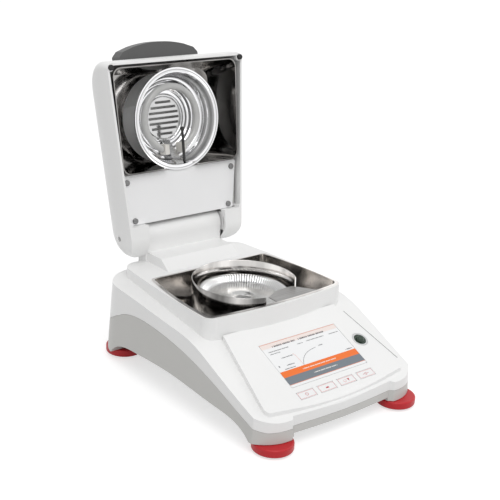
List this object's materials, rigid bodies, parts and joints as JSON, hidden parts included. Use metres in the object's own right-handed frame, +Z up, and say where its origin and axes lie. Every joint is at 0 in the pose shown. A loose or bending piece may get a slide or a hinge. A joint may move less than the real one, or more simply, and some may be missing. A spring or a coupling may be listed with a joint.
{
  "type": "moisture analyzer",
  "caption": "Benchtop heating balance with a hinged lamp lid, steel drying chamber, sample pan, sloping display and levelling feet.",
  "frame": {"origin": "centre of the bounding box's footprint on the bench, with the lid open", "axes": "+X to the user's right, +Y to the back, +Z up"},
  "size_m": [0.206, 0.3487, 0.3075],
  "materials": {
    "white_housing": "satin moulded",
    "grey_housing": "satin moulded",
    "dark_grip": "fine grain",
    "black_rubber": "matt",
    "steel": "polished stainless",
    "brushed_steel": "brushed",
    "reflector_metal": "polished",
    "quartz_glass": "clear",
    "ceramic": "matt",
    "black_sensor": "matt",
    "aluminium_sheet": "fine brushed",
    "pan_foil": "bright foil",
    "screen_glass": "glossy screen",
    "vial_glass": "glossy",
    "black_plastic": "satin",
    "circuit_board": "solder mask",
    "red_wheel": "satin"
  },
  "bodies": {
    "instrument_base": {"cell_bracket": "brushed_steel", "chamber_liner": "steel", "display_lens": "screen_glass", "display_module": "black_plastic", "draft_shield": "steel", "hinge_pins": "brushed_steel", "key_carrier": "grey_housing", "level_vial": "vial_glass", "load_cell": "aluminium_sheet", "lower_housing": "grey_housing", "main_board": "circuit_board", "pan_carrier": "brushed_steel", "pan_handler": "brushed_steel", "power_inlet": "black_plastic", "power_supply": "circuit_board", "rear_panel": "grey_housing", "sample_pan": "pan_foil", "serial_port": "steel", "upper_housing": "white_housing", "usb_device_port": "steel", "usb_host_port": "steel", "vial_bezel": "black_plastic"},
    "lid": {"cavity_lining": "steel", "cover_plate": "aluminium_sheet", "cover_plate_screws": "steel", "hub_cap": "reflector_metal", "lamp_bracket": "steel", "lamp_holders": "ceramic", "lid_bumpers": "black_rubber", "lid_frame": "grey_housing", "lid_handle": "dark_grip", "lid_shell": "white_housing", "reflector": "reflector_metal", "ring_lamp": "quartz_glass", "temperature_sensor": "black_sensor"},
    "foot_front_left": {"foot_pad_front_left": "black_rubber"},
    "wheel_front_left": {"foot_wheel_front_left": "red_wheel"},
    "foot_front_right": {"foot_pad_front_right": "black_rubber"},
    "wheel_front_right": {"foot_wheel_front_right": "red_wheel"},
    "foot_rear_left": {"foot_pad_rear_left": "black_rubber"},
    "wheel_rear_left": {"foot_wheel_rear_left": "red_wheel"},
    "foot_rear_right": {"foot_pad_rear_right": "black_rubber"},
    "wheel_rear_right": {"foot_wheel_rear_right": "red_wheel"},
    "button_1": {"key_1": "white_housing"},
    "button_2": {"key_2": "white_housing"},
    "button_3": {"key_3": "white_housing"},
    "button_4": {"key_4": "white_housing"}
  },
  "joints": [
    {"name": "lid_hinge", "type": "hinge", "parent": "instrument_base", "child": "lid", "pos_m": [0, 0.1042, 0.1165], "axis": [1, 0, 0], "range_deg": [0, 99.2]},
    {"name": "button_1_press", "type": "slide", "parent": "instrument_base", "child": "button_1", "axis": [0, 0.4067, -0.9135], "range_m": [0, 0.0006], "stiffness_N_per_m": 800},
    {"name": "button_2_press", "type": "slide", "parent": "instrument_base", "child": "button_2", "axis": [0, 0.4067, -0.9135], "range_m": [0, 0.0006], "stiffness_N_per_m": 800},
    {"name": "button_3_press", "type": "slide", "parent": "instrument_base", "child": "button_3", "axis": [0, 0.4067, -0.9135], "range_m": [0, 0.0006], "stiffness_N_per_m": 800},
    {"name": "button_4_press", "type": "slide", "parent": "instrument_base", "child": "button_4", "axis": [0, 0.4067, -0.9135], "range_m": [0, 0.0006], "stiffness_N_per_m": 800},
    {"name": "foot_front_left_lift", "type": "slide", "parent": "instrument_base", "child": "foot_front_left", "axis": [0, 0, -1], "range_m": [0, 0.005]},
    {"name": "wheel_front_left_turn", "type": "hinge", "parent": "foot_front_left", "child": "wheel_front_left", "pos_m": [-0.0779, -0.1551, 0.007], "axis": [0, 0, 1], "range_deg": [0, 1202]},
    {"name": "foot_front_right_lift", "type": "slide", "parent": "instrument_base", "child": "foot_front_right", "axis": [0, 0, -1], "range_m": [0, 0.005]},
    {"name": "wheel_front_right_turn", "type": "hinge", "parent": "foot_front_right", "child": "wheel_front_right", "pos_m": [0.0779, -0.1551, 0.007], "axis": [0, 0, 1], "range_deg": [0, 1202]},
    {"name": "foot_rear_left_lift", "type": "slide", "parent": "instrument_base", "child": "foot_rear_left", "axis": [0, 0, -1], "range_m": [0, 0.005]},
    {"name": "wheel_rear_left_turn", "type": "hinge", "parent": "foot_rear_left", "child": "wheel_rear_left", "pos_m": [-0.0779, 0.0837, 0.007], "axis": [0, 0, 1], "range_deg": [0, 1202]},
    {"name": "foot_rear_right_lift", "type": "slide", "parent": "instrument_base", "child": "foot_rear_right", "axis": [0, 0, -1], "range_m": [0, 0.005]},
    {"name": "wheel_rear_right_turn", "type": "hinge", "parent": "foot_rear_right", "child": "wheel_rear_right", "pos_m": [0.0779, 0.0837, 0.007], "axis": [0, 0, 1], "range_deg": [0, 1202]}
  ],
  "couplings": [
    {"joint": "wheel_front_left_turn", "follows": "foot_front_left_lift", "rad_per_m": 4188.8},
    {"joint": "wheel_front_right_turn", "follows": "foot_front_right_lift", "rad_per_m": 4188.8},
    {"joint": "wheel_rear_left_turn", "follows": "foot_rear_left_lift", "rad_per_m": 4188.8},
    {"joint": "wheel_rear_right_turn", "follows": "foot_rear_right_lift", "rad_per_m": 4188.8}
  ]
}
